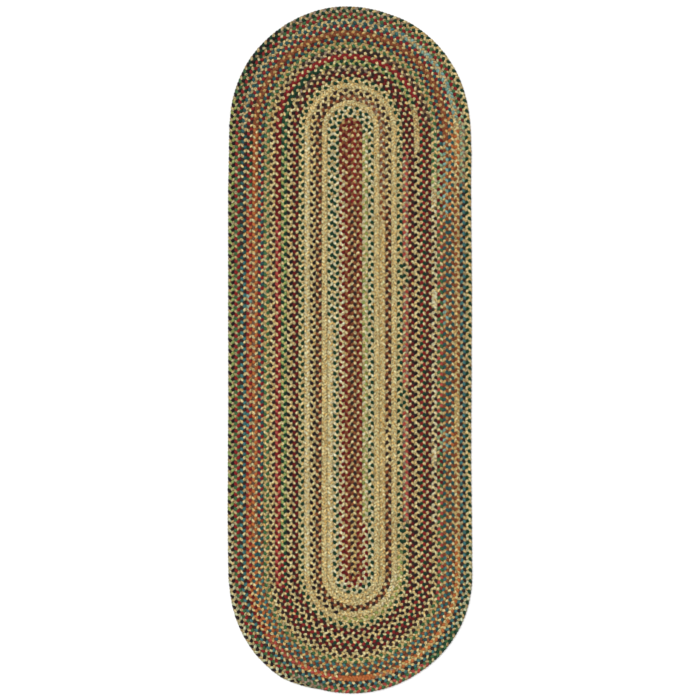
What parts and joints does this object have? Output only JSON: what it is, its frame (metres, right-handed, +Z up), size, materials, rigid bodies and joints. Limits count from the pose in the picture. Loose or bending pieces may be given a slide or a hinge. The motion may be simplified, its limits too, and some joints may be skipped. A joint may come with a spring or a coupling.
{
  "type": "braided rug",
  "caption": "Long oval rug of a flat braid of mixed coloured fabric strands, wound outwards from the middle and laced row to row; lies flat on a floor.",
  "frame": {"origin": "under the middle of the rug's outline, on the surface that it lies on", "axes": "+Z up out of the rug's upper face, +Y along the rug towards its head end, +X across it to the right"},
  "size_m": [0.6114, 1.7118, 0.01],
  "materials": {
    "braid": "dull heathered wool-blend braid in tan, brown, green, teal, rust and red strands"
  },
  "bodies": {
    "root": {"braided_rug": "braid"}
  },
  "joints": []
}
